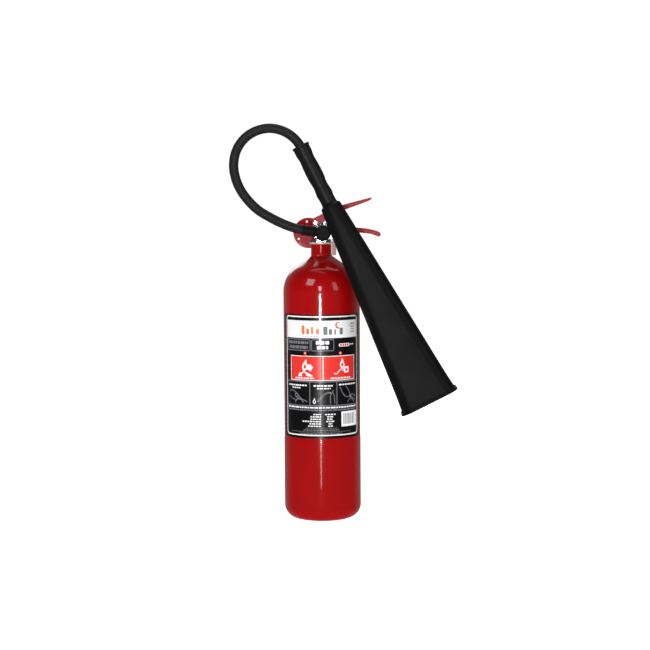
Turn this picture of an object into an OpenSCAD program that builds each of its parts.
// Carbon dioxide fire extinguisher: steel cylinder, squeeze-grip valve, swivel hose and discharge horn.
// Millimetres, +Z up, origin on the cylinder's axis at its base. The horn side is -Y and the levers
// point along +X.

/* [Cylinder] */
// Radius of the band that a bracket grips, below the label
band_r = 76; // [74:0.5:80]
// Radius of the body above the band
body_r = 75.6; // [73.6:0.1:76]
// Wall thickness of the cylinder
wall = 4.5; // [3:0.5:6]
// Height where the straight side ends and the shoulder starts
side_top = 450; // [430:1:460]
// Radius of the shoulder's curve
shoulder_r = 62; // [55:1:68]
// Height where the shoulder meets the neck
neck_foot = 522; // [518:1:525]
// Outside radius of the neck
neck_r = 20.3; // [19:0.1:21]
// Height of the neck's top face
neck_top = 544; // [540:1:548]
// Radius of the rounded lower edge
base_edge_r = 26; // [20:1:30]

/* [Label] */
// Lowest point of the label
label_low = 167; // [165:1:200]
// Height of the label
label_h = 242; // [200:1:250]
// Angle that the label covers round the body
label_angle = 144; // [100:1:170]

/* [Levers] */
// Width between the squeeze lever's cheeks
lever_gap = 20.8; // [20.4:0.1:22]
// Sheet thickness of the lever and the handle
sheet = 2; // [1.5:0.1:2.5]
// Width between the carry handle's cheeks
handle_gap = 18.2; // [18.1:0.1:19]

/* [Hose and horn] */
// Outside diameter of the hose
hose_d = 18.5; // [16:0.5:20]
// Angle that the hose rises at as it leaves the elbow
hose_rise = 9; // [0:1:12]
// Lean of the horn away from upright
horn_lean = 26.5; // [20:0.5:30]
// Angle that the horn's mouth stands out to the front
horn_out = 1.7; // [0:0.1:3]
// Distance from the grip's top to the horn's mouth
horn_end = 552; // [500:1:560]
// Width of the horn's mouth inside the rim
mouth_w = 114; // [100:1:120]
// Depth of the horn's mouth inside the rim
mouth_d = 82; // [70:1:86]
// Wall thickness of the horn
horn_wall = 2.2; // [1.8:0.1:3]

/* [Hidden] */
$fn = 64;
eps = 0.01;
slack = 0.05;          // radial clearance of parts that are screwed or pressed together
run = 0.08;            // radial clearance of parts that turn or slide

red_paint = [0.62, 0.03, 0.04];
chrome_grey = [0.82, 0.82, 0.84];
steel_grey = [0.62, 0.62, 0.62];
brass_yellow = [0.75, 0.6, 0.3];
black = [0.06, 0.06, 0.06];
tag_beige = [0.66, 0.55, 0.48];

// Cylinder
base_flat_in = 44;     // the standing ring of the base, inner and outer radius
base_dish = 16;        // how far the middle of the base is drawn up
band_top = 160;
band_step = 3;
cone_angle = 36;       // slope of the shoulder's upper part
neck_bore_r = 13 + slack;
neck_lip = 5;          // fillet between shoulder and neck

// Valve
shank_r = 13;
ring_t = 3.5;
flange_low = neck_top + ring_t;
flange_top = 553;
block_top = 579.4;
block_front = -13;
seat_z = 556;
seat_bore_r = 3.4;
spring_low = 533;
gland_low = 572;
gland_top = 582;
gland_r = 5.5;
stem_r = 2.5;
stem_top = 588.9;

// Outlet, facing -Y
outlet = [4, 566];     // x and z of its axis
boss_r = 9.5;
boss_front = -19;
nut_af = 24;
nut_back = -15;
nut_front = -23.5;
elbow_y = -33;         // the hose leaves the elbow at this y
elbow_r = 15;
spigot_len = 18;

// Burst disc port, facing +Y
port = [-5, 567];
port_boss_r = 8.5;
port_back = 24;
relief_y = 9.4;
plate_t = 2;
plate_r = 30.3;
plate_at = [-25.2, 565];

// Levers
pivot = [-11, 586];
thrust = [0, 592];
lock = [12, 594];      // the safety pin's axis
pin_r = 3;
lever_out = lever_gap / 2 + sheet;
handle_out = handle_gap / 2 + sheet;
tongue_end = 36;
rivets_x = [22, 31];
rivet_z = 569;
lever_angle = 15;

ring_at = [lock[0], 18, lock[1]];
pull_r = 9;
pull_wire = 1.1;

tag_eye = [24, 559.5];
tag_ring_r = 5.5;
tag_y = -11.5;

// Hose and horn
grip_top = [-38, -62, 733];
grip_len = 121;
hose_end = 70;         // the hose's end inside the grip
shoulder_s = 131;
horn_flare = 512;
rim_s = 548;
ferrule_out = 10.3;

function arc(c, r, a0, a1, n = 10) = [
    for (i = [0:n]) c + r * [cos(a0 + (a1 - a0) * i / n), sin(a0 + (a1 - a0) * i / n)]
];

// Catmull-Rom curve through points p
function spline_at(p0, p1, p2, p3, t) = 0.5 * (
    2 * p1 + (p2 - p0) * t + (2 * p0 - 5 * p1 + 4 * p2 - p3) * t * t
    + (3 * p1 - p0 - 3 * p2 + p3) * t * t * t
);
function spline(p, steps) = [
    for (i = [0:len(p) - 2], k = [0:steps - 1])
        spline_at(p[max(i - 1, 0)], p[i], p[i + 1], p[min(i + 2, len(p) - 1)], k / steps),
    p[len(p) - 1]
];
function unit(v) = v / norm(v);
function heading(path, i) = unit(path[min(i + 1, len(path) - 1)] - path[max(i - 1, 0)]);

// Round tube along a path that never runs along the vector `across`
module sweep(path, r, sides, across) {
    n = len(path);
    rings = [
        for (i = [0:n - 1])
            let (t = heading(path, i), u = unit(cross(across, t)), v = cross(t, u))
            for (k = [0:sides - 1]) path[i] + r * (cos(360 * k / sides) * u + sin(360 * k / sides) * v)
    ];
    walls = [
        for (i = [0:n - 2], k = [0:sides - 1])
            let (a = i * sides + k, b = i * sides + (k + 1) % sides) [a, b, b + sides, a + sides]
    ];
    start = [[for (k = [sides - 1:-1:0]) k]];
    end = [[for (k = [0:sides - 1]) (n - 1) * sides + k]];
    polyhedron(rings, concat(walls, start, end), convexity = 6);
}

// Children modelled along +Z are laid along -Y at the outlet
module at_outlet() translate([outlet[0], 0, outlet[1]]) rotate([90, 0, 0]) children();
// Children modelled along +Z are laid along +Y at a point [x, z]
module along_y(at, y = 0) translate([at[0], y, at[1]]) rotate([-90, 0, 0]) children();
module cross_pin(at, r, y0, y1) along_y(at, y0) cylinder(r = r, h = y1 - y0);
// Children modelled along +Z run from the elbow's middle along the hose's first stretch
module along_spigot() translate([outlet[0], elbow_y, outlet[1]]) rotate([0, -90 + hose_rise, 0]) children();
// Children modelled from the grip's top down, with -Z towards the horn's mouth
module in_horn() translate(grip_top) rotate([-horn_out, -horn_lean, 0]) children();
module tube(r1, r2, z0, z1) {
    translate([0, 0, z0]) difference() {
        cylinder(r = r2, h = z1 - z0);
        translate([0, 0, -1]) cylinder(r = r1, h = z1 - z0 + 2);
    }
}
module o_ring(r, wire) rotate_extrude() translate([r, 0]) circle(r = wire, $fn = 24);
module hex_bar(af, z0, z1) translate([0, 0, z0]) cylinder(r = af / 2 / cos(30), h = z1 - z0, $fn = 6);

// ---- cylinder ----
cone_foot = [body_r - shoulder_r * (1 - sin(cone_angle)), side_top + shoulder_r * cos(cone_angle)];
function outer_side(grow) = concat(
    arc([band_r - base_edge_r, base_edge_r], base_edge_r + grow, -90, 0),
    [[band_r + grow, band_top], [body_r + grow, band_top + band_step]],
    arc([body_r - shoulder_r, side_top], shoulder_r + grow, 0, 90 - cone_angle, 14)
);
function dish(low, r, n = 10) = [
    for (i = [0:n]) [r * i / n, low + base_dish * (0.5 + 0.5 * cos(180 * i / n))]
];

module cylinder_shell() color(red_paint) {
    inner_neck_z = cone_foot[1] + (cone_foot[0] - neck_bore_r) * tan(cone_angle) - wall / cos(cone_angle);
    difference() {
        rotate_extrude($fn = 128) polygon(concat(
            dish(0, base_flat_in),
            outer_side(0),
            arc([neck_r + neck_lip, neck_foot + neck_lip * 0.35], neck_lip, 250, 180, 5),
            [[neck_r, neck_top], [0, neck_top]]
        ));
        rotate_extrude($fn = 128) polygon(concat(
            dish(wall, base_flat_in),
            outer_side(-wall),
            [[neck_bore_r, inner_neck_z], [0, inner_neck_z]]
        ));
        translate([0, 0, inner_neck_z - 1]) cylinder(r = neck_bore_r, h = neck_top - inner_neck_z + 2);
    }
}

module front_label() color(black)
    translate([0, 0, label_low]) rotate([0, 0, -90 - label_angle / 2])
        rotate_extrude(angle = label_angle, $fn = 128)
            translate([body_r + slack, 0]) square([0.25, label_h]);

module neck_ring() color(steel_grey) tube(16.2, 23, neck_top, neck_top + ring_t);
module neck_o_ring() color(black) translate([0, 0, neck_top + 1.5]) o_ring(14.55, 1.4);

// ---- valve ----
module valve_body() color(chrome_grey) difference() {
    union() {
        translate([0, 0, 512]) cylinder(r = shank_r, h = 40);
        hex_bar(34, flange_low, flange_top);
        translate([0, 0, flange_top - 1]) cylinder(r = 14, h = 6);
        intersection() {
            translate([-15, block_front, 556]) cube([31, 26, block_top - 556]);
            translate([0, 0, 550]) cylinder(r = 18.5, h = 40);
        }
        // outlet boss and burst disc port
        along_y(outlet, boss_front) cylinder(r = boss_r, h = -boss_front);
        along_y(port) cylinder(r = port_boss_r, h = port_back);
        // pivot lug
        translate([pivot[0] - 5, -10, 572]) cube([10, 20, pivot[1] - 572]);
        cross_pin(pivot, 5, -10, 10);
        // lug that the safety pin passes through
        translate([lock[0] - 4, -9, 572]) cube([8, 18, lock[1] - 572]);
        cross_pin(lock, 4, -9, 9);
        // tongue that carries the handle
        translate([10, -9, 562]) cube([tongue_end - 10, 18, 12]);
        // eye for the tag's ring
        cross_pin(tag_eye, 4, -9, -5);
    }
    translate([0, 0, 500]) cylinder(r = 8 + slack, h = spring_low - 500);
    translate([0, 0, spring_low - 1]) cylinder(r = 6.5, h = seat_z - spring_low + 1);
    translate([0, 0, seat_z - 1]) cylinder(r = seat_bore_r, h = 6);
    translate([0, 0, seat_z + 4]) cylinder(r = gland_r + slack, h = 40);
    cross_pin(outlet, 3.5, boss_front - 1, 0);
    cross_pin(outlet, 7, boss_front - 1, -14.5);
    // passage from the burst disc down to the cylinder, clear of the seat
    cross_pin(port, 3, relief_y - 2, 20);
    translate([port[0], relief_y, 500]) cylinder(r = 1.3, h = port[1] - 500);
    cross_pin(port, 6.5 + slack, 14, port_back + 1);
    cross_pin(pivot, pin_r + run, -20, 20);
    cross_pin(lock, 2 + run, -20, 20);
    for (x = rivets_x) cross_pin([x, rivet_z], 2.5 + slack, -20, 20);
    cross_pin(tag_eye, 1.8, -20, 0);
}

module siphon_adapter() color(brass_yellow) difference() {
    translate([0, 0, 506]) cylinder(r = 8, h = spring_low - 506);
    translate([0, 0, 500]) cylinder(r = 3, h = 40);
    translate([0, 0, 500]) cylinder(r = 5 + slack, h = 22);
}
module siphon_tube() color(steel_grey) difference() {
    tube(3.5, 5, 20, 522);
    translate([0, 0, 30]) rotate([0, 20, 0]) translate([0, 0, -20]) cube([40, 40, 40], center = true);
}
module poppet() color(brass_yellow) union() {
    translate([0, 0, 548]) cylinder(r = 5.2, h = 3);
    translate([0, 0, 544]) cylinder(r = 2.4, h = 5);
}
module poppet_seal() color(black) translate([0, 0, 551]) cylinder(r = 4.8, h = 4.9);

spring_turns = 4;
spring_r = 4;
spring_wire = 0.8;
module poppet_spring() color(steel_grey) sweep([
    for (i = [0:12 * spring_turns])
        [
            spring_r * cos(30 * i), spring_r * sin(30 * i),
            spring_low + spring_wire + slack
                + (548 - spring_low - 2 * spring_wire - 2 * slack) * i / (12 * spring_turns)
        ]
], spring_wire, 6, [0, 0, 1]);

module valve_stem() color(steel_grey) union() {
    translate([0, 0, seat_z]) cylinder(r = 1.6, h = 8);
    translate([0, 0, 562]) cylinder(r = stem_r, h = stem_top - 562);
    translate([0, 0, gland_low - 2.5]) cylinder(r = 4, h = 2.4);
    translate([0, 0, stem_top - 2.2]) cylinder(r = 3.4, h = 2.2);
}
module gland_nut() color(brass_yellow) difference() {
    translate([0, 0, gland_low]) cylinder(r = gland_r, h = gland_top - gland_low);
    translate([0, 0, gland_low - 1]) cylinder(r = stem_r + run, h = 20);
    translate([0, 0, gland_low + 2]) cylinder(r = 4.5, h = 2);
}
module stem_o_ring() color(black) translate([0, 0, gland_low + 3]) o_ring(3.52, 0.9);

// ---- burst disc port ----
module burst_disc() color(steel_grey) cross_pin(port, 6.4, 14.05, 14.45);
module burst_disc_washer() color(brass_yellow) difference() {
    cross_pin(port, 6.4, 14.5, 15.7);
    cross_pin(port, 3.5, 13, 17);
}
module burst_disc_plug() color(chrome_grey) difference() {
    union() {
        cross_pin(port, 6.5, 15.75, port_back + plate_t + 1);
        along_y(port) hex_bar(16, port_back + plate_t + slack, port_back + plate_t + 5);
    }
    cross_pin(port, 2, 10, 40);
}
module guard_plate() color(red_paint) difference() {
    cross_pin(plate_at, plate_r, port_back, port_back + plate_t);
    cross_pin(port, 6.5 + slack, 20, 30);
    for (a = [98, 211])
        cross_pin(plate_at + 22.8 * [cos(a), sin(a)], 2.1, 20, 30);
}

// ---- outlet, elbow and hose ----
module outlet_nut() color(black) difference() {
    at_outlet() hex_bar(nut_af, -nut_back, -nut_front);
    cross_pin(outlet, boss_r + slack, nut_front + 2.6, 0);
    cross_pin(outlet, 8 + run, -30, 0);
}
module outlet_o_ring() color(black)
    translate([outlet[0], -16.5, outlet[1]]) rotate([90, 0, 0]) o_ring(5.95, 0.9);

module hose_elbow() color(black) difference() {
    union() {
        at_outlet() rotate_extrude() polygon(concat(
            [[0, 14.8], [5, 14.8], [5, 19.1], [9, 19.1], [9, 20.8], [8, 20.8], [8, 23.8], [11.5, 23.8]],
            [[elbow_r, 27.3]],
            arc([elbow_r - 4, 39.5], 4, 0, 90, 6),
            [[0, 43.5]]
        ));
        along_spigot() cylinder(r = 8.8, h = spigot_len - slack);
    }
    cross_pin(outlet, 3.5, elbow_y - 5, -10);
    along_spigot() cylinder(r = 3, h = 30);
}

// A crimped sleeve over a hose end, from z = 0 up, with three pressed bands
module crimped_sleeve(r1, r2, h) rotate_extrude() polygon(concat(
    [[r1, 0], [r2, 0]],
    [for (i = [1:3], p = [[0, -2.5], [-0.5, -1.5], [-0.5, 1.5], [0, 2.5]]) [r2 + p[0], h * i / 4 + p[1]]],
    [[r2, h], [r1, h]]
));
module valve_end_ferrule() color(black)
    along_spigot() translate([0, 0, 16]) crimped_sleeve(hose_d / 2 + 0.15, ferrule_out, 26);

spigot_way = [-cos(hose_rise), 0, sin(hose_rise)];
horn_way = [sin(horn_lean) * cos(horn_out), -sin(horn_out), -cos(horn_lean) * cos(horn_out)];
hose_route = concat(
    [for (d = [spigot_len, 30, 43]) [outlet[0], elbow_y, outlet[1]] + d * spigot_way],
    [
        [-48.5, -33, 575.1], [-63, -33.4, 580], [-80, -34.1, 587.2], [-100, -35.5, 597.5],
        [-123, -37.5, 612], [-142, -40, 631], [-156.5, -43, 652], [-165.5, -46, 675],
        [-168.5, -49, 700], [-163, -52, 726], [-148, -54.5, 748.5], [-125.5, -57, 763.5],
        [-99, -59, 769], [-73.5, -61, 764], [-52.5, -62, 751]
    ],
    [for (s = [0, 23, 46, hose_end]) grip_top + s * horn_way]
);
module hose() color(black) sweep(spline(hose_route, 2), hose_d / 2, 12, [0, 1, 0]);

module horn_end_ferrule() color(steel_grey)
    in_horn() translate([0, 0, -78]) crimped_sleeve(hose_d / 2 + 0.15, 11, 30);
module hose_nipple() color(steel_grey) in_horn() difference() {
    union() {
        translate([0, 0, -82]) cylinder(r = 9.3, h = 12 - slack);
        hex_bar(19, -94, -82);
    }
    translate([0, 0, -100]) cylinder(r = 3, h = 40);
}
module discharge_nozzle() color(brass_yellow) in_horn() difference() {
    union() {
        translate([0, 0, -150]) cylinder(r = 7, h = 56);
        translate([0, 0, -138]) cylinder(r = 9, h = 15);
    }
    translate([0, 0, -149]) cylinder(r = 2.5, h = 60);
    for (a = [0, 90]) translate([0, 0, -145]) rotate([90, 0, a]) cylinder(r = 1.5, h = 20, center = true);
    translate([0, 0, -151]) cylinder(r = 1.5, h = 5);
}

// ---- grip and horn ----
// Distance from the grip's top and radius, along its hand-shaped outside
grip_outline = [
    [3, 16.2], [13, 16.4], [20, 15.4], [28, 14.9], [40, 15.7], [56, 16.2], [70, 15.6], [78, 14.6],
    [84, 14.3], [92, 15.1], [101, 15.9], [107, 15.2], [112, 14.8], [118, 15], [grip_len - 0.3, 15.2]
];
function flip(p) = [p[1], -p[0]];
module horn_grip() color(black) in_horn() difference() {
    rotate_extrude() polygon(concat(
        [[0, 2.5], [16.9, 2.5], [17.3, 2], [17.3, -1.5], [16.8, -2]],
        [for (p = spline(grip_outline, 4)) flip(p)],
        [[0, -grip_len + 0.3]]
    ));
    translate([0, 0, -60]) cylinder(r = hose_d / 2 + 0.7, h = 80);
    translate([0, 0, -130]) cylinder(r = 11.3, h = 84);
}

// A straight-sided solid between two round-cornered outlines [distance, width, depth, corner radius]
module frustum(a, b) hull() for (q = [a, b], x = [-1, 1], y = [-1, 1])
    translate([x * (q[1] / 2 - q[3]), y * (q[2] / 2 - q[3]), -q[0]]) cylinder(r = q[3], h = eps, $fn = 32);
function inset(q, w) = [q[0], q[1] - 2 * w, q[2] - 2 * w, q[3] - w];

horn_neck_r = 20.5;
horn_top = [shoulder_s, 2 * horn_neck_r, 2 * horn_neck_r, horn_neck_r - eps];
horn_low = [horn_flare, 106, 76, 22];
horn_mouth = [rim_s, mouth_w, mouth_d, 22];
module discharge_horn() color(black) in_horn() difference() {
    union() {
        rotate_extrude() polygon(concat(
            [[0, -grip_len], [15.2, -grip_len]],
            arc([horn_neck_r - 6, -grip_len - 9], 6, 80, 0, 6),
            [[horn_neck_r, -shoulder_s - 1], [0, -shoulder_s - 1]]
        ));
        frustum(horn_top, horn_low);
        frustum(horn_low, horn_mouth);
        frustum([rim_s - 1, mouth_w + 5, mouth_d + 5, 24.5], [horn_end, mouth_w + 6, mouth_d + 6, 25]);
    }
    frustum(inset([shoulder_s + 9, 42, 42, 21 - eps], horn_wall), inset(horn_low, horn_wall));
    frustum(inset(horn_low, horn_wall), inset([horn_end + 1, mouth_w + 1, mouth_d + 1, 22], horn_wall));
    translate([0, 0, -shoulder_s - 12]) cylinder(r = 9 + slack, h = 40);
}

// ---- levers ----
// Outline extruded across the channel, hollowed from below to leave a top web and two cheeks
module channel(outline, pocket, inner, outer) rotate([90, 0, 0]) difference() {
    translate([0, 0, -outer]) linear_extrude(2 * outer) polygon(outline);
    translate([0, 0, -inner]) linear_extrude(2 * inner) polygon(pocket);
}
handle_top = [[18, 577], [70, 575.5], [87, 574.1], [104, 570.6], [114.5, 566.9]];
module carry_handle() color(red_paint) difference() {
    channel(
        concat(handle_top, arc([112.5, 562.2], 4.8, 65, -80, 6),
            [[108, 559.5], [98, 563.2], [77, 565.6], [44, 564.5], [37, 562], [18, 562]]),
        concat([for (p = handle_top) p - [0, sheet]],
            [[112, 560], [112, 550], [0, 550], [0, 575]]),
        handle_gap / 2, handle_out);
    for (x = rivets_x) cross_pin([x, rivet_z], 2.5 + slack, -20, 20);
}
module handle_rivets() color(steel_grey) for (x = rivets_x) {
    cross_pin([x, rivet_z], 2.5, -handle_out - 0.5, handle_out + 0.5);
    for (s = [-1, 1]) along_y([x, rivet_z], s * (handle_out + 0.65)) cylinder(r = 4, h = 1.2, center = true);
}

lever_top = [[-16.7, 593.8], [1.6, 602.9], [42.7, 620.6], [96.5, 634.3]];
module squeeze_lever() color(red_paint) difference() {
    channel(
        concat(lever_top, arc([97.3, 632.4], 2.2, 80, -60, 5),
            [[91, 626.8], [48.8, 611.7], [7.9, 589.1], [-2.1, 582.2], [-13.3, 580.1], [-16.5, 583]]),
        concat([[-20, 590]], [for (p = lever_top) p - [0, sheet]], [[95, 620], [60, 560], [-20, 560]]),
        lever_gap / 2, lever_out);
    cross_pin(pivot, pin_r + run, -20, 20);
    cross_pin(thrust, pin_r + slack, -20, 20);
    // the safety pin's slot follows the lever's own swing about its pivot
    for (a = [0:3:lever_angle])
        translate([pivot[0], 0, pivot[1]]) rotate([0, -a, 0]) translate([-pivot[0], 0, -pivot[1]])
            cross_pin(lock, 2 + 4 * run, -20, 20);
}
module lever_pivot_pin() color(chrome_grey) union() {
    cross_pin(pivot, pin_r, -lever_out - 1, lever_out + 2.6);
    cross_pin(pivot, 4.5, -lever_out - 1.8, -lever_out - 0.2);
}
module pivot_circlip() color(steel_grey) difference() {
    cross_pin(pivot, 5.2, lever_out + 0.4, lever_out + 1.4);
    cross_pin(pivot, pin_r + slack, 10, 20);
}
module thrust_pin() color(steel_grey) union() {
    cross_pin(thrust, pin_r, -lever_out - 0.1, lever_out + 0.1);
    for (s = [-1, 1]) along_y(thrust, s * (lever_out + 0.45)) cylinder(r = 3.8, h = 0.8, center = true);
}

// ---- safety pin and tag ----
module safety_pin() color(steel_grey) difference() {
    union() {
        cross_pin(lock, 2, -14.5, 16);
        cross_pin(lock, 4, 14, 22);
    }
    translate(ring_at) rotate([0, 90, 0]) cylinder(r = 2.1, h = 20, center = true);
}
module pull_ring() color(steel_grey)
    translate(ring_at - [0, 0, pull_r]) rotate([90, 0, 0]) o_ring(pull_r, pull_wire);

module tag_ring() color(steel_grey)
    translate([tag_eye[0], -7, tag_eye[1] - tag_ring_r]) rotate([0, 90, 0]) o_ring(tag_ring_r, 0.8);
module hanging_tag() color(tag_beige) difference() {
    translate([tag_eye[0] - 3, tag_y, 521.5]) cube([8.5, 0.8, 32]);
    cross_pin([tag_eye[0], 550.3], 2.1, -20, 0);
}

cylinder_shell();
front_label();
neck_ring();
neck_o_ring();
valve_body();
siphon_adapter();
siphon_tube();
poppet();
poppet_seal();
poppet_spring();
valve_stem();
stem_o_ring();
gland_nut();
burst_disc();
burst_disc_washer();
burst_disc_plug();
guard_plate();
outlet_nut();
outlet_o_ring();
hose_elbow();
valve_end_ferrule();
hose();
horn_end_ferrule();
hose_nipple();
discharge_nozzle();
horn_grip();
discharge_horn();
carry_handle();
handle_rivets();
squeeze_lever();
lever_pivot_pin();
pivot_circlip();
thrust_pin();
safety_pin();
pull_ring();
tag_ring();
hanging_tag();
